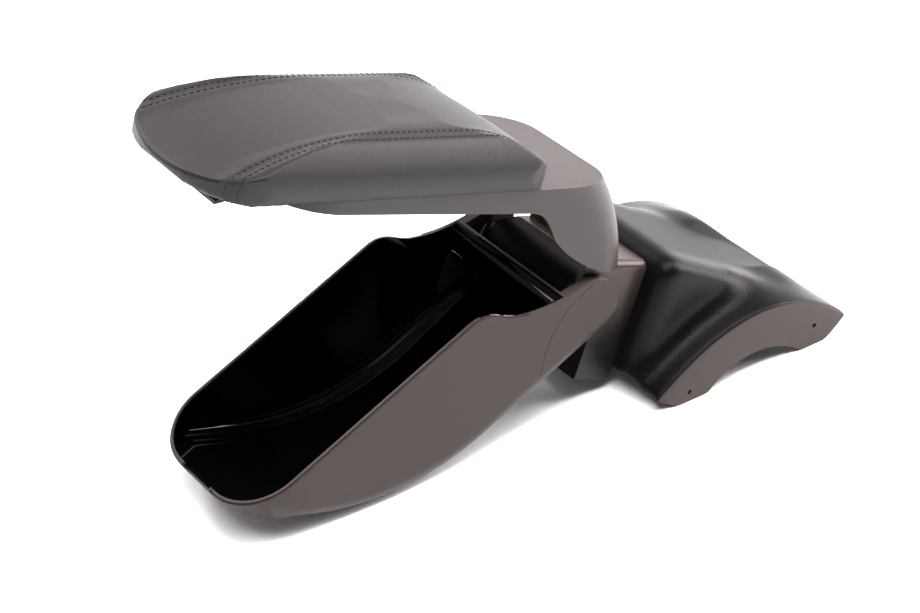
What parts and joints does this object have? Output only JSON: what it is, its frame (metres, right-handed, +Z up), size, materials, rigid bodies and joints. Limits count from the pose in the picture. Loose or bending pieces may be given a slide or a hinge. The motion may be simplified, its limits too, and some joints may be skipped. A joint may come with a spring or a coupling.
{
  "type": "car centre armrest",
  "caption": "Car centre armrest: deep storage bin under a padded leather lid, hinged on a leaning post that stands on a moulded tunnel saddle.",
  "frame": {"origin": "middle of the bounding box at floor level, in the pose of the picture", "axes": "+X from the bin's nose to the saddle's rear, +Y to the right of a driver facing the nose, +Z up"},
  "size_m": [0.526, 0.193, 0.2971],
  "materials": {
    "black_plastic": "satin",
    "gloss_black": "semi-gloss",
    "grained_black": "fine grain",
    "black_leather": "soft grain",
    "board": "plain",
    "steel": "zinc plated",
    "bushes": "plain",
    "latch_plastic": "satin"
  },
  "bodies": {
    "base": {"base_saddle": "grained_black", "mounting_plate": "steel", "post_body": "gloss_black", "post_rear_cover": "gloss_black", "post_bolts": "steel", "bolt_washers": "steel", "pivot_axle": "steel"},
    "bin": {"storage_bin": "black_plastic", "bin_bushes": "bushes", "cheek_cap_left": "black_plastic", "cheek_cap_right": "black_plastic", "cap_screws": "steel", "friction_washers": "bushes"},
    "lid": {"lid_frame": "black_plastic", "lid_bushes": "bushes", "cushion_board": "board", "cushion": "black_leather", "cushion_screws": "steel", "latch_pin": "steel", "latch_spring": "steel"},
    "latch": {"latch_lever": "latch_plastic"}
  },
  "joints": [
    {"name": "armrest_tilt", "type": "hinge", "parent": "base", "child": "bin", "pos_m": [0.036, 0, 0.09433], "axis": [0, 1, 0], "range_deg": [0, 40]},
    {"name": "lid_hinge", "type": "hinge", "parent": "bin", "child": "lid", "pos_m": [0.036, 0, 0.09433], "axis": [0, 1, 0], "range_deg": [-44.2, 0]},
    {"name": "lid_latch", "type": "hinge", "parent": "lid", "child": "latch", "pos_m": [-0.22519, 0, 0.26745], "axis": [0, 1, 0], "range_deg": [0, 18], "stiffness_Nm_per_rad": 0.02, "springref_deg": -11.46}
  ]
}
